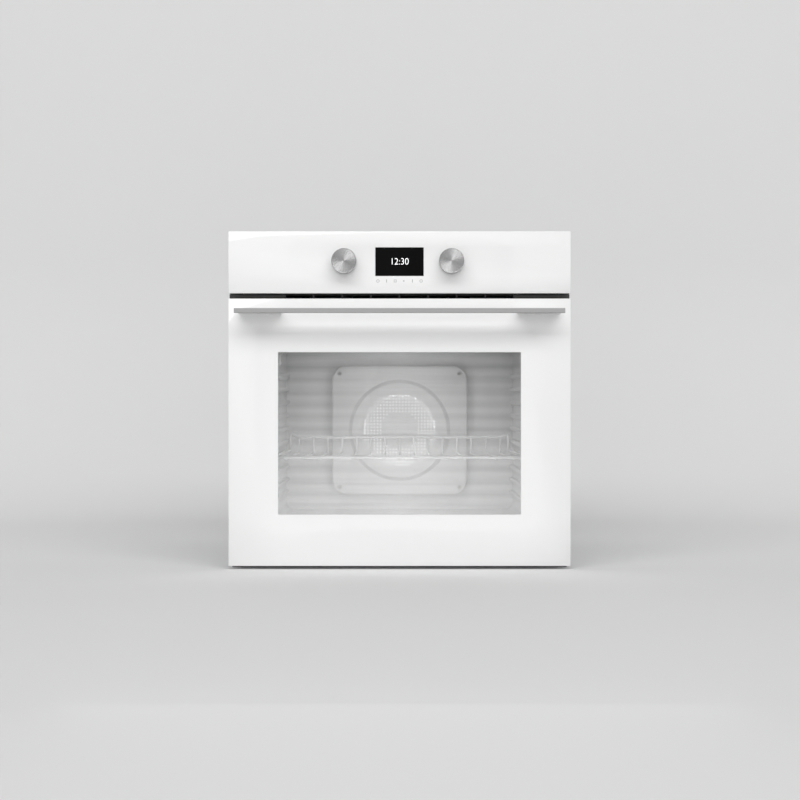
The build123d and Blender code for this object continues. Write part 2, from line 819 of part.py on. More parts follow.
middle_front = glass_face + middle_place
middle_groove = (middle_front - running_gap, middle_front + middle_thickness + running_gap)
with BuildPart() as middle_glass:
    block(
        (middle_side_play - stile_inner, stile_inner - middle_side_play),
        (middle_front, middle_front + middle_thickness),
        (bottom_rail_high - channel_wall, top_rail_low + channel_wall),
    )
save(middle_glass, "middle_glass")

with BuildPart() as inner_glass:
    block(
        (-inner_half, inner_half),
        (frame_back, inner_back),
        (cavity_low - inner_low_lap, cavity_high + inner_top_lap),
    )
    fillet(inner_glass.edges().filter_by(Axis.Y), inner_thickness * 2)
    chamfer(inner_glass.faces().sort_by(Axis.Y)[-1].edges(), inner_thickness / 8)
save(inner_glass, "inner_glass")

for side, sign in sides:
    with BuildPart() as stile:
        outer, inner = sign * stile_outer, sign * stile_inner
        web = sign * (stile_outer - channel_wall)
        arm_room = arm_high + 7 * arm_gap
        block((web, outer), (print_back, frame_back), (frame_low, frame_high))
        block((inner, web), (print_back, print_back + channel_wall), (frame_low, frame_high))
        block((inner, web), (frame_back - channel_wall, frame_back), (arm_room, frame_high))
    save(stile, f"{side}_stile")

with BuildPart() as top_rail:
    span = (-stile_inner, stile_inner)
    depth = (print_back, frame_back)
    block(span, depth, (top_rail_low, frame_high))
    inside = (print_back + channel_wall, frame_back - channel_wall)
    block(span, inside, (top_rail_low + 2 * channel_wall, frame_high), Mode.SUBTRACT)
    block(span, middle_groove, (top_rail_low, top_rail_low + channel_wall + running_gap), Mode.SUBTRACT)
    slot_step = 2 * stile_inner / rail_slots
    for row_y in ((inside[0] + middle_groove[0]) / 2, (inside[1] + middle_groove[1]) / 2):
        with BuildSketch(Plane.XY.offset(top_rail_low)):
            with Locations((0, row_y)):
                with GridLocations(slot_step, 1, rail_slots, 1):
                    SlotOverall(slot_step * 0.6, slot_width * 0.75)
        extrude(amount=2 * channel_wall, mode=Mode.SUBTRACT)
    for x in handle_screws_x:
        rod_y(handle_screw_r + screw_play, x, (print_back, inside[0]), handle_z, Mode.SUBTRACT)
save(top_rail, "top_rail")

with BuildPart() as bottom_rail:
    block(span, depth, (frame_low, bottom_rail_high))
    block(span, inside, (frame_low, bottom_rail_high - 2 * channel_wall), Mode.SUBTRACT)
    groove_floor = bottom_rail_high - channel_wall
    block(span, middle_groove, (groove_floor, bottom_rail_high), Mode.SUBTRACT)
save(bottom_rail, "bottom_rail")

# Hinges: arm and socket stay on the oven, body, pin and spring go with the door
cheek_front = print_back + channel_wall
for side, sign in sides:
    with BuildPart() as hinge_arm:
        with BuildSketch(Plane.YZ.offset(sign * hinge_x)):
            with Locations((hinge_y, hinge_z)):
                Circle(arm_eye_r)
            with BuildLine():
                Polyline(
                    (hinge_y - arm_eye_r, hinge_z),
                    (hinge_y - arm_eye_r, arm_low),
                    (hinge_y, arm_high),
                    (arm_reach, arm_high),
                    (arm_reach, arm_low),
                    (hinge_y + arm_eye_r, arm_low),
                    (hinge_y + arm_eye_r, hinge_z),
                    close=True,
                )
            make_face()
            with Locations((hinge_y, hinge_z)):
                Circle(hinge_pin_r + hinge_play, mode=Mode.SUBTRACT)
            with Locations((arm_reach - roller_from_end, arm_low)):
                Circle(roller_r + running_gap, mode=Mode.SUBTRACT)
        extrude(amount=arm_thickness / 2, both=True)
    save(hinge_arm, f"{side}_hinge_arm")

    with BuildPart() as hinge_body:
        for lip in (-1, 1):
            inner_face = sign * hinge_x + lip * (arm_thickness / 2 + arm_gap)
            with BuildSketch(Plane.YZ.offset(inner_face)):
                with Locations((hinge_y, hinge_z)):
                    Circle(cheek_eye_r)
                with BuildLine():
                    Polyline(
                        (hinge_y - cheek_eye_r, hinge_z),
                        (cheek_front, hinge_z + cheek_eye_r * 2),
                        (cheek_front, hinge_z + hinge_body_height),
                        (frame_back - 2 * cheek, hinge_z + hinge_body_height),
                        (frame_back - 2 * cheek, hinge_z + hinge_body_height / 2),
                        (hinge_y + cheek_eye_r, arm_high),
                        (hinge_y + cheek_eye_r, hinge_z),
                        close=True,
                    )
                make_face()
                with Locations((hinge_y, hinge_z)):
                    Circle(hinge_pin_r + hinge_play / 2, mode=Mode.SUBTRACT)
            extrude(amount=lip * cheek)
        inner_gap = arm_thickness / 2 + arm_gap
        block(
            (sign * hinge_x - inner_gap, sign * hinge_x + inner_gap),
            (cheek_front, cheek_front + cheek),
            (arm_room, hinge_z + hinge_body_height),
        )
    save(hinge_body, f"{side}_hinge_body")

with BuildPart() as hinge_pins:
    for side, sign in sides:
        pin_ends = (sign * hinge_x - hinge_half - arm_gap, sign * hinge_x + hinge_half + arm_gap)
        rod_x(hinge_pin_r, pin_ends, hinge_y, hinge_z)
save(hinge_pins, "hinge_pins")

with BuildPart() as hinge_springs:
    spring_mid = hinge_z + hinge_body_height - cheek - spring_length / 2
    spring_y = cheek_front + cheek + running_gap + spring_r
    for side, sign in sides:
        with Locations((sign * hinge_x, spring_y, spring_mid)):
            Cylinder(spring_r, spring_length)
save(hinge_springs, "hinge_springs")

with BuildPart() as hinge_sockets:
    socket_low = arm_low - socket_drop
    socket_inner = arm_thickness / 2 + arm_gap
    for side, sign in sides:
        for lip in (-1, 1):
            near = sign * hinge_x + lip * socket_inner
            block(
                (near, near + lip * cheek),
                (pocket_depth, arm_reach + 2 * arm_gap + cheek),
                (socket_low, socket_low + socket_height),
            )
        across = (sign * hinge_x - socket_inner, sign * hinge_x + socket_inner)
        block(
            across,
            (arm_reach + 2 * arm_gap, arm_reach + 2 * arm_gap + cheek),
            (socket_low, socket_low + socket_height),
        )
        rod_x(roller_r, across, arm_reach - roller_from_end, arm_low)
save(hinge_sockets, "hinge_sockets")

# Handle
bar_half = front_width / 2 - handle_inset
bar_face = glass_face - handle_reach
bar_back = bar_face + handle_depth
with BuildPart() as handle_bar:
    bar_low = handle_z - handle_height / 2
    block((-bar_half, bar_half), (bar_face, bar_back), (bar_low, bar_low + handle_height))
    fillet(handle_bar.faces().sort_by(Axis.Y)[0].edges(), handle_height / 10)
save(handle_bar, "handle_bar")

with BuildPart() as handle_posts:
    for side, sign in sides:
        block(
            (sign * post_inner, sign * (post_inner + post_width)),
            (bar_back, glass_face),
            (handle_z - post_height / 2, handle_z + post_height / 2),
        )
    fillet(handle_posts.edges().filter_by(Axis.Y), post_height / 7)
    bite = (glass_face - handle_screw_bite - screw_play, glass_face)
    for x in handle_screws_x:
        rod_y(handle_screw_r + screw_play, x, bite, handle_z, Mode.SUBTRACT)
save(handle_posts, "handle_posts")

with BuildPart() as handle_screws:
    for x in handle_screws_x:
        rod_y(handle_screw_r, x, (glass_face - handle_screw_bite, inside[0]), handle_z)
        rod_y(handle_screw_head_r, x, (inside[0], inside[0] + handle_screw_head), handle_z)
save(handle_screws, "handle_screws")

# Control panel
knobs = (("left", left_knob_x), ("right", right_knob_x))
with BuildPart() as control_glass:
    block((-front_width / 2, front_width / 2), (glass_face, glass_back), (panel_low, panel_high))
    fillet(control_glass.faces().sort_by(Axis.Y)[0].edges(), glass_round)
    for side, x in knobs:
        rod_y(bushing_r + bushing_play, x, (glass_face - 1, print_back), control_z, Mode.SUBTRACT)
save(control_glass, "control_glass")

with BuildPart() as control_print:
    block((-front_width / 2, front_width / 2), coat, (panel_low, panel_high))
    display_low = control_z - display_height / 2
    display_high = control_z + display_height / 2
    block((-display_width / 2, display_width / 2), coat, (display_low, display_high), Mode.SUBTRACT)
    for side, x in knobs:
        rod_y(bushing_r + bushing_play, x, (glass_back - 1, print_back + 1), control_z, Mode.SUBTRACT)
save(control_print, "control_print")

board_low = control_z - board_height / 2
board_high = control_z + board_height / 2
with BuildPart() as control_housing:
    block((-housing_half, housing_half), (print_back, 0), (housing_low, housing_high))
    block(
        (housing_wall - housing_half, housing_half - housing_wall),
        (print_back, -housing_wall),
        (housing_low + housing_wall, housing_high - housing_wall),
        Mode.SUBTRACT,
    )
    for x in (peg_inset - board_half, board_half - peg_inset):
        for z in (board_low + peg_inset, board_high - peg_inset):
            rod_y(peg_r, x, (-board_back, -housing_wall), z)
save(control_housing, "control_housing")

with BuildPart() as control_board:
    block((-board_half, board_half), (board_front, -board_back), (board_low, board_high))
save(control_board, "control_board")

with BuildPart() as display_module:
    block(
        (-display_width / 2 - display_rim, display_width / 2 + display_rim),
        (print_back, board_front),
        (display_low - display_rim, display_high + display_rim),
    )
    fillet(display_module.edges().filter_by(Axis.Y), display_rim / 2)
save(display_module, "display_module")

for side, x in knobs:
    with BuildPart() as encoder:
        block(
            (x - encoder_size / 2, x + encoder_size / 2),
            (print_back + running_gap, board_front),
            (control_z - encoder_size / 2, control_z + encoder_size / 2),
        )
        rod_y(bushing_r, x, (glass_face - bushing_reach, print_back + running_gap), control_z)
        stem_room = (glass_face - bushing_reach, glass_face + stem_depth + knob_gap)
        rod_y(stem_r + stem_play, x, stem_room, control_z, Mode.SUBTRACT)
    save(encoder, f"{side}_encoder")

    with BuildPart() as knob:
        rod_y(knob_r, x, (knob_face_y, knob_base_y), control_z)
        fillet(knob.edges().group_by(Axis.Y)[0], knob_round)
        rod_y(knob_r - knob_wall, x, (knob_face_y + knob_face, knob_base_y), control_z, Mode.SUBTRACT)
        rod_y(hub_r, x, (knob_face_y + knob_face, glass_face - bushing_reach - knob_gap), control_z)
        rod_y(stem_r, x, (knob_face_y + knob_face, glass_face + stem_depth), control_z)
    save(knob, f"{side}_knob")

# Vent grille between door and panel, standing on the front frame's upper edge
with BuildPart() as vent_grille:
    grille_face = glass_face + grille_back
    grille_half = front_width / 2 - grille_inset
    grille_high = panel_low - grille_top_gap
    block((-grille_half, grille_half), (grille_face, 0), (flange_high, flange_high + grille_foot))
    block((-grille_half, grille_half), (grille_face, grille_face + grille_wall), (flange_high, grille_high))
    tab_depth = (grille_face + grille_tab_back, 0)
    tab_height = (flange_high, housing_low - grille_tab_gap)
    for _, way in sides:
        block((way * grille_half, way * (grille_half - grille_tab)), tab_depth, tab_height)
    with BuildSketch(front_plane(grille_face + grille_wall)):
        with Locations((0, (flange_high + grille_foot + vent_edge / 2 + grille_high - vent_edge) / 2)):
            with GridLocations(vent_pitch, 1, vent_slots, 1):
                Rectangle(vent_pitch - vent_bar, grille_high - flange_high - grille_foot - 1.5 * vent_edge)
    extrude(amount=grille_wall, mode=Mode.SUBTRACT)
save(vent_grille, "vent_grille")

# Cooling air: duct on the deck, with a ramp over the front frame's pocket
duct_front = grille_face + grille_wall
ramp_high = flange_high + grille_foot + sheet
roof_front = housing_low - sheet / 2
roof_rear = deck_high + duct_rise
ramp_end = pocket_depth + duct_ramp
with BuildPart() as air_duct:
    with BuildSketch(Plane.YZ.offset(-duct_half)):
        with BuildLine():
            Polyline(
                (duct_front, roof_front),
                (ramp_end, roof_front),
                (duct_back, roof_rear),
                (duct_back, roof_rear - sheet),
                (ramp_end, roof_front - sheet),
                (duct_front, roof_front - sheet),
                close=True,
            )
        make_face()
        with BuildLine():
            Polyline(
                (duct_front, ramp_high),
                (pocket_depth, ramp_high),
                (ramp_end, deck_high + sheet),
                (ramp_end, deck_high),
                (pocket_depth, ramp_high - sheet),
                (duct_front, ramp_high - sheet),
                close=True,
            )
        make_face()
    extrude(amount=2 * duct_half)
    for near in (-duct_half, duct_half - sheet):
        with BuildSketch(Plane.YZ.offset(near)):
            with BuildLine():
                Polyline(
                    (duct_front, roof_front),
                    (ramp_end, roof_front),
                    (duct_back, roof_rear),
                    (duct_back, deck_high),
                    (ramp_end, deck_high),
                    (pocket_depth, ramp_high - sheet),
                    (duct_front, ramp_high - sheet),
                    close=True,
                )
            make_face()
        extrude(amount=sheet)
save(air_duct, "air_duct")

# Cross-flow blower: housing, wheel and motor
shell_r = blower_r + blower_clear
end_plate = blower_length / 2 + blower_end_gap
with BuildPart() as blower_housing:
    with BuildSketch(Plane.YZ.offset(-end_plate)):
        with Locations((blower_y, blower_z)):
            Circle(shell_r + sheet)
            Circle(shell_r, mode=Mode.SUBTRACT)
            with Locations((-shell_r, -shell_r / 2)):
                Rectangle(2 * shell_r, 3 * shell_r, mode=Mode.SUBTRACT)
    extrude(amount=2 * end_plate)
    for sign in (-1, 1):
        block(
            (sign * end_plate, sign * (end_plate + sheet)),
            (blower_y - shell_r, blower_y + shell_r + sheet),
            (deck_high, blower_z + shell_r + sheet),
        )
        rod_x(
            blower_shaft_r + blower_shaft_play,
            (sign * (end_plate - sheet), sign * (end_plate + 2 * sheet)),
            blower_y,
            blower_z,
            Mode.SUBTRACT,
        )
save(blower_housing, "blower_housing")

with BuildPart() as blower_wheel:
    rod_x(blower_shaft_r, (-end_plate - 2 * sheet, end_plate + sheet + blower_shaft_bite), blower_y, blower_z)
    for middle in (blower_disc / 2 - blower_length / 2, 0, blower_length / 2 - blower_disc / 2):
        rod_x(blower_r, (middle - blower_disc / 2, middle + blower_disc / 2), blower_y, blower_z)
    with Locations(Plane(origin=(0, blower_y, blower_z), x_dir=(0, 1, 0), z_dir=(1, 0, 0))):
        with PolarLocations(blower_r - blower_blade / 2, blower_blades):
            Box(blower_blade, blower_sheet, blower_length)
save(blower_wheel, "blower_wheel")

with BuildPart() as blower_motor:
    motor_x = (end_plate + sheet, end_plate + sheet + blower_motor_length)
    half = blower_motor_size / 2
    block(motor_x, (blower_y - half, blower_y + half), (blower_z - half, blower_z + half))
    fillet(blower_motor.edges().filter_by(Axis.X), half / 4)
    shaft_hole = (motor_x[0], motor_x[0] + blower_shaft_bite + sheet)
    rod_x(blower_shaft_r + shaft_play, shaft_hole, blower_y, blower_z, Mode.SUBTRACT)
save(blower_motor, "blower_motor")

# Mains entry
with BuildPart() as cable_gland:
    rod_y(gland_r, gland_x, (casing_depth - sheet - gland_in, casing_depth + gland_out), gland_z)
    with BuildSketch(front_plane(casing_depth + gland_out)):
        with Locations((gland_x, gland_z)):
            RegularPolygon(gland_flange_r, 6)
    extrude(amount=gland_out)
    with BuildSketch(front_plane(casing_depth - sheet)):
        with Locations((gland_x, gland_z)):
            RegularPolygon(gland_flange_r, 6)
    extrude(amount=gland_nut)
    fillet(cable_gland.edges().filter_by(GeomType.CIRCLE).group_by(Axis.Y)[0], screw_play)
    through = (casing_depth - sheet - gland_in, casing_depth + gland_out)
    rod_y(gland_bore_r, gland_x, through, gland_z, Mode.SUBTRACT)
save(cable_gland, "cable_gland")

with BuildPart() as terminal_block:
    block_rear = casing_depth - 2 * sheet - block_from_rear
    block_x = (gland_x - block_width / 2, gland_x + block_width / 2)
    block(block_x, (block_rear - block_depth, block_rear), (deck_high, deck_high + block_height))
    with Locations((gland_x, block_rear - block_depth / 2, deck_high + block_height)):
        with GridLocations(block_width / block_ways, 1, block_ways, 1):
            Hole(block_way_r, block_height / 2)
save(terminal_block, "terminal_block")
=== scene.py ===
import bpy
import math
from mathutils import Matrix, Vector


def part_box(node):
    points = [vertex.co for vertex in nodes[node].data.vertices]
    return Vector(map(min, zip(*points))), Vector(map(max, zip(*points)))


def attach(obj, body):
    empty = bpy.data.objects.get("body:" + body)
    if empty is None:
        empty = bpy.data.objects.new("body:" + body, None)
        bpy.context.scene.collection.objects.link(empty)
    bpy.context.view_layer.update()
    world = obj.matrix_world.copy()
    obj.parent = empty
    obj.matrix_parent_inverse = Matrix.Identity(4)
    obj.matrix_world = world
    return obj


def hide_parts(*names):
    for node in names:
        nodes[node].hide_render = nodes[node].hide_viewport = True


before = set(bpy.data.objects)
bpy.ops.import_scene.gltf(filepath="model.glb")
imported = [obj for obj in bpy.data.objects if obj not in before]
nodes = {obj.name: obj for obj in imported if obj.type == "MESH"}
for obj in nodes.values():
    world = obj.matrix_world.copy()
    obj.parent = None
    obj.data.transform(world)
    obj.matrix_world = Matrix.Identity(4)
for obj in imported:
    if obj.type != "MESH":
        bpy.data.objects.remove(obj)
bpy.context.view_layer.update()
mm = 0.001


class Wire:
    # one output of a shader node; sums on it add Math nodes
    def __init__(self, tree, socket):
        self.tree = tree
        self.socket = socket

    def sum(self, operation, *others, flip=False):
        step = self.tree.nodes.new("ShaderNodeMath")
        step.operation = operation
        values = [*others, self] if flip else [self, *others]
        for slot, value in zip(step.inputs, values):
            plug(self.tree, slot, value)
        return Wire(self.tree, step.outputs[0])

    def __add__(self, other):
        return self.sum("ADD", other)

    def __sub__(self, other):
        return self.sum("SUBTRACT", other)

    def __mul__(self, other):
        return self.sum("MULTIPLY", other)

    def __truediv__(self, other):
        return self.sum("DIVIDE", other)

    def __rsub__(self, other):
        return self.sum("SUBTRACT", other, flip=True)

    def __rtruediv__(self, other):
        return self.sum("DIVIDE", other, flip=True)

    def __gt__(self, other):
        return self.sum("GREATER_THAN", other)

    def __lt__(self, other):
        return self.sum("LESS_THAN", other)

    def __pow__(self, other):
        return self.sum("POWER", other)

    __radd__ = __add__
    __rmul__ = __mul__


def plug(tree, slot, value):
    if isinstance(value, Wire):
        tree.links.new(value.socket, slot)
    else:
        slot.default_value = value


class Finish:
    # a material, its Principled shader and what feeds it
    def __init__(self, name, **settings):
        self.mat = bpy.data.materials.new(name)
        self.mat.use_nodes = True
        self.tree = self.mat.node_tree
        self.shader = self.tree.nodes["Principled BSDF"]
        self.output = self.tree.nodes["Material Output"]
        self.place = self.node("TexCoord", out="Object")
        self.set(**settings)

    def node(self, kind, inputs=None, out=0, **settings):
        made = self.tree.nodes.new("ShaderNode" + kind)
        for key, value in settings.items():
            setattr(made, key, value)
        for key, value in (inputs or {}).items():
            plug(self.tree, made.inputs[key], value)
        return Wire(self.tree, made.outputs[out])

    def set(self, **settings):
        for key, value in settings.items():
            slot = self.shader.inputs[key.replace("_", " ")]
            if isinstance(value, tuple) and len(value) == 3:
                value = (*value, 1.0)
            plug(self.tree, slot, value)
        return self

    def axes(self):
        made = self.node("SeparateXYZ", {"Vector": self.place})
        return [Wire(self.tree, made.socket.node.outputs[i]) for i in range(3)]

    def noise(self, scale, detail=3.0, stretch=(1, 1, 1), rough=0.5):
        where = self.node("Mapping", {"Vector": self.place, "Scale": stretch})
        return self.node("TexNoise", {"Vector": where, "Scale": scale, "Detail": detail, "Roughness": rough})

    def blend(self, mask, low, high):
        # colour between two colours: sockets 0, 6 and 7 are the factor and both colours
        return self.node("Mix", {0: mask, 6: opaque(low), 7: opaque(high)}, out=2, data_type="RGBA")

    def bump(self, height, distance, strength=1.0):
        made = self.node("Bump", {"Height": height, "Distance": distance, "Strength": strength})
        return self.set(Normal=made)


def grey(level):
    return (level, level, level)


def opaque(colour):
    # written colours get their alpha, wired ones stay as they are
    return (*colour, 1.0) if isinstance(colour, tuple) else colour


def shaded(colour, share):
    return tuple(share * part for part in colour)


def spread(wave, low, high):
    # takes a value from 0..1 to low..high
    return wave * (high - low) + low


# Glass and print

def whiteGlassFinish():
    look = {
        "white": (0.872, 0.872, 0.868),
        "shade": (0.862, 0.864, 0.864),
        "cloud": 3.0,
        "haze": 40.0,
        "gloss": (0.035, 0.07),
    }
    made = Finish("whiteGlass", IOR=1.5)
    made.set(Base_Color=made.blend(made.noise(look["cloud"], 2.0), look["white"], look["shade"]))
    return made.set(Roughness=spread(made.noise(look["haze"]), *look["gloss"]))


def clearGlassFinish(name, smear, shineShare):
    # see-through, with a clean reflection that grows at a slant
    look = {"tint": grey(0.985), "bend": 1.45, "gloss": 0.02, "smearSize": 14.0}
    made = Finish(name)
    seeThrough = made.node("BsdfTransparent", {"Color": opaque(look["tint"])})
    gloss = made.node("BsdfGlossy", {"Color": opaque(grey(1.0)), "Roughness": look["gloss"]})
    slant = made.node("Fresnel", {"IOR": look["bend"]})
    shine = slant * shineShare + made.noise(look["smearSize"], 4.0) * smear
    mixed = made.node("MixShader", {0: shine, 1: seeThrough, 2: gloss})
    made.tree.links.new(mixed.socket, made.output.inputs["Surface"])
    return made


def innerGlassFinish():
    # clear in the middle, dark printed border round it with a dotted edge
    look = {
        "half": 222.0 * mm,
        "low": 85.0 * mm,
        "high": 392.0 * mm,
        "dot": 4.2 * mm,
        "fade": 12.0 * mm,
        "print": grey(0.012),
        "haze": 60.0,
        "gloss": (0.12, 0.2),
    }
    made = clearGlassFinish("innerGlass", 0.002, 0.15)
    x, _, z = made.axes()
    middle = (look["low"] + look["high"]) / 2
    outX = x.sum("ABSOLUTE") - look["half"]
    outZ = (z - middle).sum("ABSOLUTE") - (look["high"] - look["low"]) / 2
    reach = outX.sum("MAXIMUM", outZ)
    turn = 2 * math.pi / look["dot"]
    dots = (x * turn).sum("SINE") * (z * turn).sum("SINE")
    border = (reach / look["fade"] + dots * 0.5) > 0.5
    made.set(Base_Color=look["print"], Roughness=spread(made.noise(look["haze"]), *look["gloss"]))
    clear = made.output.inputs["Surface"].links[0].from_socket
    ink = Wire(made.tree, made.shader.outputs[0])
    both = made.node("MixShader", {0: border, 1: Wire(made.tree, clear), 2: ink})
    made.tree.links.new(both.socket, made.output.inputs["Surface"])
    return made


def displayFinish():
    look = {"pale": grey(0.003), "dark": grey(0.002), "cloud": 25.0, "haze": 90.0, "gloss": (0.03, 0.06)}
    made = Finish("displayFace", IOR=1.5, Specular_IOR_Level=0.1)
    made.set(Base_Color=made.blend(made.noise(look["cloud"]), look["pale"], look["dark"]))
    return made.set(Roughness=spread(made.noise(look["haze"]), *look["gloss"]))


def litFinish(name, colour, strength):
    look = {"grain": 300.0, "dim": 0.92}
    made = Finish(name, Base_Color=colour, Roughness=0.4, Emission_Strength=strength)
    glow = made.blend(made.noise(look["grain"]), colour, shaded(colour, look["dim"]))
    return made.set(Emission_Color=glow)


def touchInkFinish():
    look = {"dark": grey(0.4), "pale": grey(0.45), "grain": 400.0}
    made = Finish("touchInk", Roughness=0.2)
    return made.set(Base_Color=made.blend(made.noise(look["grain"]), look["dark"], look["pale"]))


# Metals

def casingFinish():
    # galvanised sheet: pale flakes of different grey, slightly matt
    look = {
        "dark": (0.48, 0.49, 0.5),
        "pale": (0.6, 0.61, 0.62),
        "flake": 130.0,
        "flakeShare": 0.55,
        "cloud": 6.0,
        "cloudShare": 0.45,
        "gloss": (0.36, 0.46),
        "grain": 220.0,
        "dent": 0.04 * mm,
    }
    made = Finish("galvanisedSheet", Metallic=0.85)
    flake = made.node("TexVoronoi", {"Vector": made.place, "Scale": look["flake"]}, out="Color")
    tone = made.node("SeparateColor", {"Color": flake})
    mottle = tone * look["flakeShare"] + made.noise(look["cloud"]) * look["cloudShare"]
    made.set(Base_Color=made.blend(mottle, look["dark"], look["pale"]))
    made.set(Roughness=spread(tone, *look["gloss"]))
    return made.bump(made.noise(look["grain"], 2.0), look["dent"])


def cavityPaintedBandsFinish(name, base, paintedBandStrength):
    # satin brushed metal with painted reflection and shade: soft dark level bands painted into the colour,
    # fading towards the middle, so the sides are painted darker
    look = {
        "pitch": 25.8 * mm,
        "start": 7.0 * mm,
        "fade": 110.0 * mm,
        "sway": 12.0 * mm,
        "middleShare": 0.25,
        "brushShare": 0.3,
        "streakShare": 0.5,
        "dark": 0.25,
        "gloss": (0.3, 0.42),
        "dent": 0.12 * mm,
    }
    made = Finish(name, Metallic=0.3)
    x, _, z = made.axes()
    side = (x.sum("ABSOLUTE") / look["fade"]).sum("MINIMUM", 1.0)
    sway = made.noise(5.0, 2.0, (0.35, 0.35, 1.0)) - 0.5
    turn = 2 * math.pi / look["pitch"]
    wave = ((z + sway * look["sway"] + look["start"]) * turn).sum("SINE") * 0.5 + 0.5
    brushed = made.noise(60.0, 5.0, (0.06, 0.06, 6.0))
    streaks = made.noise(28.0, 4.0, (0.05, 0.05, 5.0))
    # painted reflection and shade: level bands painted dark into the colour, at full strength at the sides
    paintedShadeBands = wave * spread(side, look["middleShare"], 1.0) * paintedBandStrength
    shade = 1.0 - paintedShadeBands - (brushed - 0.5) * look["brushShare"] - (streaks - 0.5) * look["streakShare"]
    made.set(Base_Color=made.blend(shade, shaded(base, look["dark"]), base))
    made.set(Roughness=spread(brushed, *look["gloss"]))
    return made.bump(brushed, look["dent"], 0.5)


def enamelFinish(name, base, speck):
    look = {
        "speck": 900.0,
        "speckFrom": 0.62,
        "haze": 30.0,
        "gloss": (0.22, 0.34),
        "grain": 160.0,
        "dent": 0.06 * mm,
    }
    made = Finish(name, IOR=1.5)
    specks = made.noise(look["speck"], 2.0) > look["speckFrom"]
    made.set(Base_Color=made.blend(specks, base, speck))
    made.set(Roughness=spread(made.noise(look["haze"]), *look["gloss"]))
    return made.bump(made.noise(look["grain"], 2.0), look["dent"])


def brushedFinish(name, base, stretch, gloss, metal):
    # metal with fine lines along one axis
    look = {"line": 900.0, "lineShare": 0.6, "cloud": 9.0, "cloudShare": 0.4, "dark": 0.9, "dent": 0.03 * mm}
    made = Finish(name, Metallic=metal)
    lines = made.noise(look["line"], 3.0, stretch)
    mottle = lines * look["lineShare"] + made.noise(look["cloud"]) * look["cloudShare"]
    made.set(Base_Color=made.blend(mottle, shaded(base, look["dark"]), base))
    made.set(Roughness=spread(lines, *gloss))
    return made.bump(lines, look["dent"])


def platedFinish(name, base, gloss, metal=1.0):
    # plain or plated steel with faint clouding
    look = {"cloud": 35.0, "dark": 0.8, "haze": 70.0, "grain": 400.0, "dent": 0.02 * mm}
    made = Finish(name, Metallic=metal)
    made.set(Base_Color=made.blend(made.noise(look["cloud"], 5.0), shaded(base, look["dark"]), base))
    made.set(Roughness=spread(made.noise(look["haze"], 4.0), *gloss))
    return made.bump(made.noise(look["grain"], 2.0), look["dent"])


def heaterFinish():
    # sheath darkened by heat, with brown and blue clouds
    look = {
        "dark": (0.035, 0.032, 0.03),
        "warm": (0.12, 0.09, 0.07),
        "warmSize": 22.0,
        "cold": (0.07, 0.08, 0.1),
        "coldSize": 13.0,
        "coldShare": 0.5,
        "haze": 80.0,
        "gloss": (0.38, 0.6),
        "grain": 700.0,
        "dent": 0.04 * mm,
    }
    made = Finish("heaterSheath", Metallic=0.7)
    tint = made.blend(made.noise(look["warmSize"], 4.0), look["dark"], look["warm"])
    made.set(Base_Color=made.blend(made.noise(look["coldSize"]) * look["coldShare"], tint, look["cold"]))
    made.set(Roughness=spread(made.noise(look["haze"]), *look["gloss"]))
    return made.bump(made.noise(look["grain"], 2.0), look["dent"])


def laminatedFinish():
    # motor core: thin stacked sheets
    look = {"pitch": 1.6 * mm, "dark": grey(0.02), "pale": grey(0.09), "gloss": (0.35, 0.6), "dent": 0.1 * mm}
    made = Finish("motorCore", Metallic=0.6)
    x, y, _ = made.axes()
    stack = ((x + y) * (2 * math.pi / look["pitch"])).sum("SINE") * 0.5 + 0.5
    made.set(Base_Color=made.blend(stack, look["dark"], look["pale"]))
    made.set(Roughness=spread(stack, *look["gloss"]))
    return made.bump(stack, look["dent"])


# Plastics, board, seal, wool, ceramic

def mouldedFinish(name, base, gloss):
    look = {
        "grain": 1400.0,
        "grainShare": 0.4,
        "cloud": 12.0,
        "cloudShare": 0.6,
        "dark": 0.88,
        "dent": 0.05 * mm,
    }
    made = Finish(name, IOR=1.46)
    fine = made.noise(look["grain"], 2.0)
    mottle = made.noise(look["cloud"], 2.0) * look["cloudShare"] + fine * look["grainShare"]
    made.set(Base_Color=made.blend(mottle, shaded(base, look["dark"]), base))
    made.set(Roughness=spread(fine, *gloss))
    return made.bump(fine, look["dent"])


def boardFinish():
    # green mask with paler tracks
    look = {
        "mask": (0.012, 0.09, 0.035),
        "track": (0.03, 0.2, 0.08),
        "trackSize": 90.0,
        "trackWide": 0.03,
        "haze": 200.0,
        "gloss": (0.25, 0.4),
    }
    made = Finish("solderMask", IOR=1.5)
    grid = {"Vector": made.place, "Scale": look["trackSize"], "Mortar Size": look["trackWide"]}
    made.set(Base_Color=made.blend(made.node("TexBrick", grid, out="Fac"), look["mask"], look["track"]))
    return made.set(Roughness=spread(made.noise(look["haze"]), *look["gloss"]))


def sealFinish():
    # heat-proof braid: crossed fine ridges
    look = {
        "pitch": 1.8 * mm,
        "dark": grey(0.02),
        "pale": grey(0.075),
        "gloss": (0.6, 0.85),
        "dent": 0.3 * mm,
    }
    made = Finish("ovenSeal")
    x, y, z = made.axes()
    turn = 2 * math.pi / look["pitch"]
    weave = ((x + z + y) * turn).sum("SINE") * ((x - z + y) * turn).sum("SINE") * 0.5 + 0.5
    made.set(Base_Color=made.blend(weave, look["dark"], look["pale"]))
    made.set(Roughness=spread(weave, *look["gloss"]))
    return made.bump(weave, look["dent"])


def woolFinish():
    look = {
        "dark": (0.38, 0.31, 0.17),
        "pale": (0.72, 0.63, 0.42),
        "fibre": 120.0,
        "stretch": (1, 0.3, 1),
        "gloss": (0.8, 1.0),
        "dent": 3.0 * mm,
    }
    made = Finish("mineralWool")
    fibre = made.noise(look["fibre"], 8.0, look["stretch"], 0.7)
    made.set(Base_Color=made.blend(fibre, look["dark"], look["pale"]))
    made.set(Roughness=spread(fibre, *look["gloss"]))
    return made.bump(fibre, look["dent"])


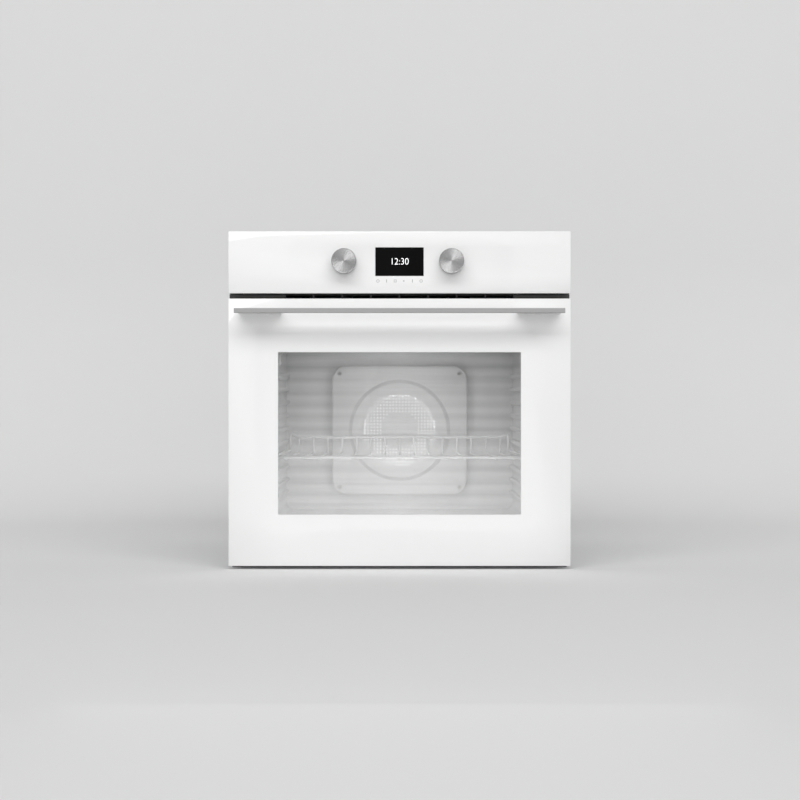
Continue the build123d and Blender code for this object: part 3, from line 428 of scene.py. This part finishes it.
def ceramicFinish():
    look = {
        "dark": (0.78, 0.75, 0.69),
        "pale": (0.86, 0.84, 0.8),
        "cloud": 80.0,
        "haze": 150.0,
        "gloss": (0.25, 0.45),
    }
    made = Finish("lampCeramic", IOR=1.5)
    made.set(Base_Color=made.blend(made.noise(look["cloud"]), look["dark"], look["pale"]))
    return made.set(Roughness=spread(made.noise(look["haze"]), *look["gloss"]))


def knobFinish(name, middleX, middleZ):
    # tone and gloss vary in fine rings about the knob's own axis
    look = {"pale": grey(0.46), "dark": grey(0.42), "rings": 700.0, "gloss": (0.22, 0.28)}
    made = Finish(name, Metallic=1.0)
    x, _, z = made.axes()
    radius = ((x - middleX) ** 2.0 + (z - middleZ) ** 2.0).sum("SQRT")
    ringNoise = {"W": radius * look["rings"], "Scale": 1.0, "Detail": 3.0}
    uneven = made.node("TexNoise", ringNoise, noise_dimensions="1D")
    made.set(Base_Color=made.blend(uneven, look["dark"], look["pale"]))
    return made.set(Roughness=spread(uneven, *look["gloss"]))


def dress(finish, *names):
    for name in names:
        slots = nodes[name].data.materials
        slots.clear()
        slots.append(finish.mat)


# Modelling helpers, all through operators

def startFresh():
    if bpy.context.object and bpy.context.object.mode != "OBJECT":
        bpy.ops.object.mode_set(mode="OBJECT")
    bpy.ops.object.select_all(action="DESELECT")


def newBlock(name, low, high):
    startFresh()
    low, high = Vector(low), Vector(high)
    bpy.ops.mesh.primitive_cube_add(size=1.0, location=(low + high) / 2)
    made = bpy.context.object
    made.name = name
    made.scale = high - low
    bpy.ops.object.transform_apply(location=True, rotation=True, scale=True)
    return made


def pick(made, kind, test):
    # selects faces by a test on their place and normal, or edges on their place and direction
    bpy.ops.object.mode_set(mode="EDIT")
    bpy.ops.mesh.select_mode(type=kind)
    bpy.ops.mesh.select_all(action="DESELECT")
    bpy.ops.object.mode_set(mode="OBJECT")
    mesh = made.data
    if kind == "FACE":
        for face in mesh.polygons:
            face.select = bool(test(face.center, face.normal))
    else:
        for edge in mesh.edges:
            ends = [mesh.vertices[i].co for i in edge.vertices]
            edge.select = bool(test((ends[0] + ends[1]) / 2, (ends[1] - ends[0]).normalized()))
    bpy.ops.object.mode_set(mode="EDIT")


def endEdit():
    bpy.ops.mesh.select_all(action="SELECT")
    bpy.ops.mesh.remove_doubles(threshold=1e-6)
    bpy.ops.mesh.normals_make_consistent(inside=False)
    bpy.ops.object.mode_set(mode="OBJECT")


def cutAlong(point, normal):
    bpy.ops.object.mode_set(mode="EDIT")
    bpy.ops.mesh.select_all(action="SELECT")
    bpy.ops.mesh.bisect(plane_co=point, plane_no=normal)


def cutOpening(made, low, high):
    # rectangular opening through a slab that faces the front
    for x in (low[0], high[0]):
        cutAlong((x, 0, 0), (1, 0, 0))
    for z in (low[1], high[1]):
        cutAlong((0, 0, z), (0, 0, 1))
    pick(made, "FACE", lambda p, n: low[0] < p.x < high[0] and low[1] < p.z < high[1] and abs(n.y) > 0.9)
    bpy.ops.mesh.bridge_edge_loops()
    endEdit()


def soften(made, width, segments=3, angle=40.0, smooth=35.0, harden=True):
    startFresh()
    made.select_set(True)
    bpy.context.view_layer.objects.active = made
    step = made.modifiers.new("edge", "BEVEL")
    step.width = width
    step.segments = segments
    step.limit_method = "ANGLE"
    step.angle_limit = math.radians(angle)
    step.harden_normals = harden
    bpy.ops.object.modifier_apply(modifier=step.name)
    bpy.ops.object.shade_smooth_by_angle(angle=math.radians(smooth))


def settle(made, finish, body, slot, *replaced):
    made.data.materials.clear()
    made.data.materials.append(finish.mat)
    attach(made, body)
    if replaced:
        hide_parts(*replaced)


# Finishes of the CAD pieces

whiteGlass = whiteGlassFinish()
clearGlass = clearGlassFinish("clearGlass", 0.003, 4.8)
coatedGlass = clearGlassFinish("coatedGlass", 0.002, 0.15)
chrome = platedFinish("shelfChrome", grey(0.72), (0.2, 0.3), 0.25)
plainSteel = platedFinish("zincPlated", (0.52, 0.52, 0.5), (0.28, 0.42))
blackMoulding = mouldedFinish("blackMoulding", grey(0.016), (0.38, 0.5))
casing = casingFinish()
satinBar = brushedFinish("satinAluminium", grey(0.4), (0.01, 1, 1), (0.46, 0.56), 0.45)
# painted light: a paler copy of the handle's aluminium for the posts, so their shaded undersides are painted
# lighter than the bar
postPaintedLightAluminium = brushedFinish("paleAluminiumPaintedLight", grey(0.72), (0.01, 1, 1), (0.4, 0.5), 0.6)
dress(casing, "base_pan", "left_side_panel", "right_side_panel", "rear_cover", "top_cover", "deck")
dress(casing, "air_duct", "blower_housing", "hinge_sockets")
dress(enamelFinish("frameEnamel", grey(0.045), grey(0.09)), "front_frame")
# painted reflection and shade bands on the cavity walls and the fan cover
dress(cavityPaintedBandsFinish("cavitySatinPaintedBands", grey(0.68), 0.3), "cavity_liner")
dress(cavityPaintedBandsFinish("coverSatinPaintedBands", grey(0.6), 0.22), "fan_cover")
dress(woolFinish(), "insulation_wrap", "rear_insulation")
dress(heaterFinish(), "grill_heater", "base_heater", "ring_heater")
dress(plainSteel, "grill_hanger", "temperature_probe", "left_hinge_arm", "right_hinge_arm", "panel_screws")
dress(plainSteel, "left_hinge_body", "right_hinge_body", "hinge_pins", "hinge_springs", "handle_screws")
dress(brushedFinish("fanSteel", grey(0.93), (1, 0.02, 1), (0.3, 0.4), 0.15), "convection_fan")
dress(laminatedFinish(), "fan_motor", "blower_motor")
doorFrameCoat = enamelFinish("doorFrameCoat", grey(0.58), grey(0.52))
dress(doorFrameCoat, "left_stile", "right_stile", "top_rail", "bottom_rail")
dress(satinBar, "handle_bar")
# the posts get the paler, painted-light copy of the bar's aluminium
dress(postPaintedLightAluminium, "handle_posts")
dress(mouldedFinish("grilleMoulding", grey(0.055), (0.42, 0.55)), "vent_grille")
dress(mouldedFinish("housingMoulding", grey(0.03), (0.4, 0.52)), "control_housing")
dress(blackMoulding, "left_encoder", "right_encoder", "cable_gland", "terminal_block", "blower_wheel")
dress(displayFinish(), "display_module")
dress(boardFinish(), "control_board")
dress(chrome, "wire_shelf")
dress(ceramicFinish(), "lamp_holder")
dress(coatedGlass, "middle_glass")
dress(mouldedFinish("frostedLens", grey(0.72), (0.2, 0.3)), "lamp_lens")
dress(innerGlassFinish(), "inner_glass")
dress(litFinish("bulbGlow", (1.0, 0.95, 0.86), 1.5), "lamp_bulb")
print("finishes on", len(nodes), "CAD pieces")

# Door front: white glass round a clear window

doorFront = {
    "edge": 0.9 * mm,
    "windowHalf": 210.8 * mm,
    "windowLow": 94.8 * mm,
    "windowHigh": 376.4 * mm,
    "paneRim": 0.4 * mm,
}


def makeDoorFront():
    low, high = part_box("door_glass")
    windowLow = (-doorFront["windowHalf"], doorFront["windowLow"])
    windowHigh = (doorFront["windowHalf"], doorFront["windowHigh"])
    front = newBlock("door_front_glass", low, high)
    cutOpening(front, windowLow, windowHigh)
    soften(front, doorFront["edge"])
    settle(front, whiteGlass, "door", "white_print", "door_print", "door_glass")
    paneLow = (windowLow[0], low.y, windowLow[1])
    paneHigh = (windowHigh[0], high.y, windowHigh[1])
    pane = newBlock("door_window", paneLow, paneHigh)
    pick(pane, "FACE", lambda p, n: abs(n.y) > 0.9)
    bpy.ops.mesh.inset(thickness=doorFront["paneRim"])
    endEdit()
    settle(pane, clearGlass, "door", "clear_glass")


makeDoorFront()
print("door front made")

# Control panel: white glass, black display, digits and touch marks

panel = {
    "edge": 0.9 * mm,
    "displayHalf": 41.85 * mm,
    "displayTall": 49.4 * mm,
    "displayRim": 0.3 * mm,
    "digits": "12:30",
    "digitSize": 16.5 * mm,
    "digitNarrow": 0.9,
    "digitThin": 0.2 * mm,
    "markRise": 21.5 * mm,
    "markPitch": 15.0 * mm,
    "markSize": 5.4 * mm,
    "markLine": 0.8 * mm,
    "barNarrow": 0.22,
    "marks": ("ring", "bar", "square", "dot", "bar", "ring"),
    "markSides": {"ring": 24, "square": 4, "dot": 12, "bar": 4},
    "markShare": {"ring": 0.5, "square": 0.6, "dot": 0.22, "bar": 0.7},
    "proud": 0.05 * mm,
}


def makeControlFront():
    low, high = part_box("control_glass")
    middle = (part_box("left_knob")[0].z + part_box("left_knob")[1].z) / 2
    half, tall = panel["displayHalf"], panel["displayTall"] / 2
    front = newBlock("control_front_glass", low, high)
    cutOpening(front, (-half, middle - tall), (half, middle + tall))
    soften(front, panel["edge"])
    settle(front, whiteGlass, "chassis", "white_print", "control_print", "control_glass")
    face = newBlock("display_face", (-half, low.y, middle - tall), (half, high.y, middle + tall))
    pick(face, "FACE", lambda p, n: abs(n.y) > 0.9)
    bpy.ops.mesh.inset(thickness=panel["displayRim"])
    endEdit()
    settle(face, displayFinish(), "chassis", "display_glass")
    return low, middle


def makeDigits(faceY, middle):
    startFresh()
    bpy.ops.object.text_add()
    digits = bpy.context.object
    digits.data.body = panel["digits"]
    digits.data.size = panel["digitSize"]
    digits.data.align_x = "CENTER"
    digits.data.align_y = "CENTER"
    digits.data.extrude = panel["proud"]
    digits.data.offset = -panel["digitThin"]
    bpy.ops.object.convert(target="MESH")
    digits.name = "display_digits"
    digits.scale.x = panel["digitNarrow"]
    digits.rotation_euler.x = math.pi / 2
    digits.location = (0, faceY, middle)
    bpy.ops.object.transform_apply(location=True, rotation=True, scale=True)
    settle(digits, litFinish("displayDigits", grey(0.9), 0.8), "chassis", "display_glass")


def makeTouchMarks(faceY, low):
    ink = touchInkFinish()
    middle = (len(panel["marks"]) - 1) / 2
    for index, kind in enumerate(panel["marks"]):
        startFresh()
        x = (index - middle) * panel["markPitch"]
        sides = panel["markSides"][kind]
        radius = panel["markShare"][kind] * panel["markSize"]
        bpy.ops.mesh.primitive_circle_add(vertices=sides, radius=radius, fill_type="NGON", location=(0, 0, 0))
        mark = bpy.context.object
        mark.name = f"touch_mark_{index + 1}"
        if sides == 4:
            mark.rotation_euler.z = math.pi / 4
            bpy.ops.object.transform_apply(rotation=True)
        if kind == "bar":
            mark.scale.x = panel["barNarrow"]
            bpy.ops.object.transform_apply(scale=True)
        bpy.ops.object.mode_set(mode="EDIT")
        bpy.ops.mesh.select_all(action="SELECT")
        if kind in ("ring", "square"):
            bpy.ops.mesh.inset(thickness=panel["markLine"])
            bpy.ops.mesh.delete(type="FACE")
            bpy.ops.mesh.select_all(action="SELECT")
        bpy.ops.mesh.extrude_region_move(TRANSFORM_OT_translate={"value": (0, 0, panel["proud"])})
        endEdit()
        mark.rotation_euler.x = math.pi / 2
        mark.location = (x, faceY, low + panel["markRise"])
        bpy.ops.object.transform_apply(location=True, rotation=True)
        settle(mark, ink, "chassis", "white_print")


panelLow, panelMiddle = makeControlFront()
makeDigits(panelLow.y, panelMiddle)
makeTouchMarks(panelLow.y, panelLow.z)
print("control panel made")

# Knobs: cap with a fine rim, turned grooves in its face and a shadow gap at its foot

knob = {
    "sides": 160,
    "rim": 0.7 * mm,
    "dish": 0.25 * mm,
    "foot": 1.0 * mm,
    "gap": 1.2 * mm,
    "edge": 0.35 * mm,
    "edgeSteps": 2,
    "smooth": 18.0,
    "grooves": 33,
    "grooveWide": 0.3 * mm,
    "grooveDeep": 0.051 * mm,
}


def makeKnob(side):
    low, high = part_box(f"{side}_knob")
    middle = (low + high) / 2
    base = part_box("control_glass")[0].y - knob["gap"]
    radius = (high.x - low.x) / 2
    startFresh()
    bpy.ops.mesh.primitive_cylinder_add(
        vertices=knob["sides"],
        radius=radius,
        depth=base - low.y,
        location=(middle.x, (low.y + base) / 2, middle.z),
        rotation=(math.pi / 2, 0, 0),
    )
    cap = bpy.context.object
    cap.name = f"{side}_knob_cap"
    bpy.ops.object.transform_apply(location=True, rotation=True, scale=True)
    pick(cap, "FACE", lambda p, n: n.y < -0.9)
    bpy.ops.mesh.inset(thickness=knob["rim"])
    bpy.ops.mesh.extrude_region_move(TRANSFORM_OT_translate={"value": (0, knob["dish"], 0)})
    bpy.ops.mesh.inset(thickness=knob["dish"])
    for _ in range(knob["grooves"]):
        for way in (-1, 1):
            bpy.ops.mesh.inset(thickness=knob["grooveWide"], depth=way * knob["grooveDeep"])
    pick(cap, "FACE", lambda p, n: n.y > 0.9)
    bpy.ops.mesh.inset(thickness=knob["foot"])
    bpy.ops.mesh.extrude_region_move(TRANSFORM_OT_translate={"value": (0, -knob["foot"], 0)})
    endEdit()
    soften(cap, knob["edge"], knob["edgeSteps"], smooth=knob["smooth"], harden=False)
    finish = knobFinish(f"{side}KnobMetal", middle.x, middle.z)
    settle(cap, finish, f"{side}_knob", "knob_metal", f"{side}_knob")


for side in ("left", "right"):
    makeKnob(side)
print("knobs made")

# Door seal: a round bead along the cavity's mouth

seal = {"bead": 3.2 * mm, "inset": 8.0 * mm, "corner": 24.0 * mm, "arcSteps": 10, "roundSteps": 5}


def makeSeal():
    low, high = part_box("door_gasket")
    middle = (low + high) / 2
    startFresh()
    bpy.ops.mesh.primitive_plane_add(size=1.0)
    bead = bpy.context.object
    bead.name = "door_seal_bead"
    bead.scale = (high.x - low.x - seal["inset"], high.z - low.z - seal["inset"], 1)
    bpy.ops.object.transform_apply(scale=True)
    bpy.ops.object.mode_set(mode="EDIT")
    bpy.ops.mesh.select_all(action="SELECT")
    bpy.ops.mesh.bevel(offset=seal["corner"], segments=seal["arcSteps"], affect="VERTICES")
    bpy.ops.mesh.delete(type="ONLY_FACE")
    bpy.ops.object.mode_set(mode="OBJECT")
    bpy.ops.object.convert(target="CURVE")
    bead.data.bevel_depth = seal["bead"]
    bead.data.bevel_resolution = seal["roundSteps"]
    bpy.ops.object.convert(target="MESH")
    bead.rotation_euler.x = math.pi / 2
    bead.location = (middle.x, high.y - seal["bead"], middle.z)
    bpy.ops.object.transform_apply(location=True, rotation=True)
    bpy.ops.object.mode_set(mode="EDIT")
    endEdit()
    bpy.ops.object.shade_smooth()
    settle(bead, sealFinish(), "chassis", "seal_rubber", "door_gasket")


makeSeal()
print("door seal made")

# Stage, lights and camera

view = {"x": 0.87 * mm, "z": 293.6 * mm, "away": 2.5, "pixel": 1.7383 * mm, "frame": 800, "film": 36.0}
stage = {
    "floor": 4.0,
    "back": 1.6,
    "drop": 0.5 * mm,
    "bend": 0.7,
    "bendSteps": 24,
    "pale": grey(0.75),
    "shade": 0.985,
}
keyLight = {"place": (0.0, -6.84, 7.74), "aim": (0, -0.02, 0.42), "wide": 20.0, "tall": 3.9, "power": 1040.0}
fillLight = {"place": (0, -4.2, 1.15), "aim": (0, 0, 0.95), "wide": 9.0, "tall": 2.2, "power": 62.0}
bounceLight = {"place": (0, -2.5, 0.006), "aim": (0, -2.5, 1.0), "wide": 8.0, "tall": 1.7, "power": 18.0}
sparkLight = {"offset": (0.22, -0.96, 0.33), "size": 0.36, "power": 0.9}
cavityLight = {"place": (0, 0.05, 0.11), "aim": (0, 0.43, 0.10), "wide": 0.44, "tall": 0.06, "power": 0.56}
roofLight = {"place": (0, 0.035, 0.33), "aim": (0, 0.30, 0.21), "wide": 0.26, "tall": 0.03, "power": 0.2}
sideLights = {
    "place": (0.214, 0.26, 0.23),
    "aim": (0.16, 0.43, 0.23),
    "wide": 0.016,
    "tall": 0.26,
    "power": 0.025,
}
crownLight = {"place": (0, 0.25, 0.395), "aim": (0, 0.43, 0.37), "wide": 0.3, "tall": 0.02, "power": 0.05}
bulbLight = {"place": (0, 0.2, 0.31), "radius": 0.05, "power": 0.5}
railLight = {"place": (0, 0.016, 0.178), "aim": (0, 0.045, 0.192), "wide": 0.43, "tall": 0.008, "power": 0.1}
chamberLights = {"count": 4, "out": 0.122, "y": 0.4165, "z": 0.232, "wide": 0.1, "deep": 0.014, "power": 0.3}
softLights = {
    "fill": fillLight,
    "bounce": bounceLight,
    "cavity_glow": cavityLight,
    "roof_glow": roofLight,
    "rail_glow": railLight,
    "crown_glow": crownLight,
}
worldGlow = {"light": 0.11, "seen": 0.66}
card = {
    "away": 1.1,
    "half": 0.33,
    "low": 0.004,
    "high": 1.0,
    "lineTop": (25.9 * mm, 581.8 * mm),
    "lineFoot": (-134.4 * mm, 7.1 * mm),
    "fadeLow": 103.0 * mm,
    "fadeHigh": 380.0 * mm,
    "glowLow": 1.58,
    "glowHigh": 0.5,
    "glowMost": 2.0,
    "sideReach": 205.0 * mm,
    "sideLoss": 0.4,
    "sideBend": 1.5,
    "leftGain": 0.08,
}


def makeStage():
    startFresh()
    middle = (0, stage["back"] - stage["floor"], -stage["drop"])
    bpy.ops.mesh.primitive_plane_add(size=stage["floor"] * 2, location=middle)
    floor = bpy.context.object
    floor.name = "stage_floor"
    bpy.ops.object.transform_apply(location=True)
    pick(floor, "EDGE", lambda p, d: p.y > stage["back"] - 0.01)
    bpy.ops.mesh.extrude_region_move(TRANSFORM_OT_translate={"value": (0, 0, stage["floor"])})
    pick(floor, "EDGE", lambda p, d: abs(p.y - stage["back"]) < 0.01 and p.z < 0.01 and abs(d.x) > 0.9)
    bpy.ops.mesh.bevel(offset=stage["bend"], segments=stage["bendSteps"])
    bpy.ops.object.mode_set(mode="OBJECT")
    bpy.ops.object.shade_smooth()
    paper = Finish("stagePaper", Roughness=0.9)
    dull = shaded(stage["pale"], stage["shade"])
    paper.set(Base_Color=paper.blend(paper.noise(2.0), stage["pale"], dull))
    floor.data.materials.append(paper.mat)


def addAreaLight(name, place, aim, wide, tall, power, glossy=True):
    startFresh()
    bpy.ops.object.light_add(type="AREA", location=place)
    lamp = bpy.context.object
    lamp.name = name
    lamp.data.shape = "RECTANGLE"
    lamp.data.size = wide
    lamp.data.size_y = tall
    lamp.data.energy = power
    lamp.rotation_euler = (Vector(aim) - Vector(place)).to_track_quat("-Z", "Z").to_euler()
    lamp.visible_camera = False
    lamp.visible_glossy = glossy
    return lamp


def addBulb():
    startFresh()
    bpy.ops.object.light_add(type="POINT", location=bulbLight["place"])
    lamp = bpy.context.object
    lamp.name = "cavity_bulb"
    lamp.data.shadow_soft_size = bulbLight["radius"]
    lamp.data.energy = bulbLight["power"]
    lamp.visible_camera = False
    lamp.visible_glossy = False


def addKnobLight(side):
    # soft lamp for the turned face of one knob, which lights nothing else
    low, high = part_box(f"{side}_knob")
    middle = (low + high) / 2
    place = middle + Vector(sparkLight["offset"])
    size = sparkLight["size"]
    spark = addAreaLight(f"{side}Spark", place, middle, size, size, sparkLight["power"])
    spark.visible_diffuse = False
    sparkled = bpy.data.collections.new(f"{side}Sparkled")
    sparkled.objects.link(bpy.data.objects[f"{side}_knob_cap"])
    spark.light_linking.receiver_collection = sparkled


def addSideLight(way):
    mirrored = {key: (way * sideLights[key][0], *sideLights[key][1:]) for key in ("place", "aim")}
    addAreaLight(f"side_{way}", **{**sideLights, **mirrored}, glossy=False)


def addChamberLight(index):
    # lamps round the fan, behind its cover, that show through the holes
    middle = Vector((0, chamberLights["y"], chamberLights["z"]))
    turn = index * 2 * math.pi / chamberLights["count"]
    place = middle + Vector((math.cos(turn), 0, math.sin(turn))) * chamberLights["out"]
    wide, deep = chamberLights["wide"], chamberLights["deep"]
    addAreaLight(f"chamber_{index}", place, middle, wide, deep, chamberLights["power"], False)


def makeReflectionCard():
    # a sheet seen only in gloss: paler low down, in the middle and left of a slanted line,
    # all set by where its mirror image falls on the door
    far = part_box("door_glass")[0].y - card["away"]
    grow = 1 + card["away"] / view["away"]
    (topX, topZ), (footX, footZ) = card["lineTop"], card["lineFoot"]
    slope = (topX - footX) / (topZ - footZ)
    startFresh()
    bpy.ops.mesh.primitive_plane_add(size=1.0, rotation=(math.pi / 2, 0, 0))
    sheet = bpy.context.object
    sheet.name = "stage_reflection"
    sheet.scale = (2 * card["half"], card["high"] - card["low"], 1)
    sheet.location = (0, far, (card["high"] + card["low"]) / 2)
    bpy.ops.object.transform_apply(location=True, rotation=True, scale=True)
    glow = Finish("cardGlow", Base_Color=grey(0.0), Specular_IOR_Level=0.0)
    glow.set(Emission_Strength=card["glowMost"])
    x, _, z = glow.axes()
    x = (x - view["x"]) / grow + view["x"]
    z = (z - view["z"]) / grow + view["z"]
    rise = (z - card["fadeLow"]) / (card["fadeHigh"] - card["fadeLow"])
    rise = rise.sum("MAXIMUM", 0.0).sum("MINIMUM", 1.0)
    side = (x.sum("ABSOLUTE") / card["sideReach"]).sum("MINIMUM", 1.0) ** card["sideBend"]
    left = (x - z * slope) < footX - footZ * slope
    level = spread(rise, card["glowLow"], card["glowHigh"])
    level = level - side * card["sideLoss"] + left * card["leftGain"]
    glow.set(Emission_Color=glow.blend(level / card["glowMost"], grey(0.0), grey(1.0)))
    sheet.data.materials.append(glow.mat)
    for kind in ("camera", "diffuse", "transmission", "volume_scatter", "shadow"):
        setattr(sheet, f"visible_{kind}", False)


def makeWorld():
    world = bpy.data.worlds.new("studio")
    world.use_nodes = True
    tree = world.node_tree
    sky = tree.nodes["Background"]
    paths = tree.nodes.new("ShaderNodeLightPath").outputs
    seen = Wire(tree, paths["Is Camera Ray"])
    for kind in ("Is Glossy Ray", "Is Transmission Ray"):
        seen = seen.sum("MAXIMUM", Wire(tree, paths[kind]))
    sky.inputs["Color"].default_value = (1, 1, 1, 1)
    plug(tree, sky.inputs["Strength"], spread(seen, worldGlow["light"], worldGlow["seen"]))
    bpy.context.scene.world = world


def makeCamera():
    startFresh()
    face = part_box("door_glass")[0].y
    spot = (view["x"], face - view["away"], view["z"])
    bpy.ops.object.camera_add(location=spot, rotation=(math.pi / 2, 0, 0))
    eye = bpy.context.object
    eye.name = "camera"
    eye.data.sensor_width = view["film"]
    eye.data.lens = view["film"] * view["away"] / (view["frame"] * view["pixel"])
    bpy.context.scene.camera = eye


makeStage()
makeReflectionCard()
makeWorld()
addAreaLight("key", **keyLight)
for side in ("left", "right"):
    addKnobLight(side)
for name, lamp in softLights.items():
    addAreaLight(name, **lamp, glossy=False)
addBulb()
for way in (-1, 1):
    addSideLight(way)
for index in range(chamberLights["count"]):
    addChamberLight(index)
makeCamera()
bpy.context.scene.view_settings.view_transform = "Standard"
print("stage, lights and camera set")
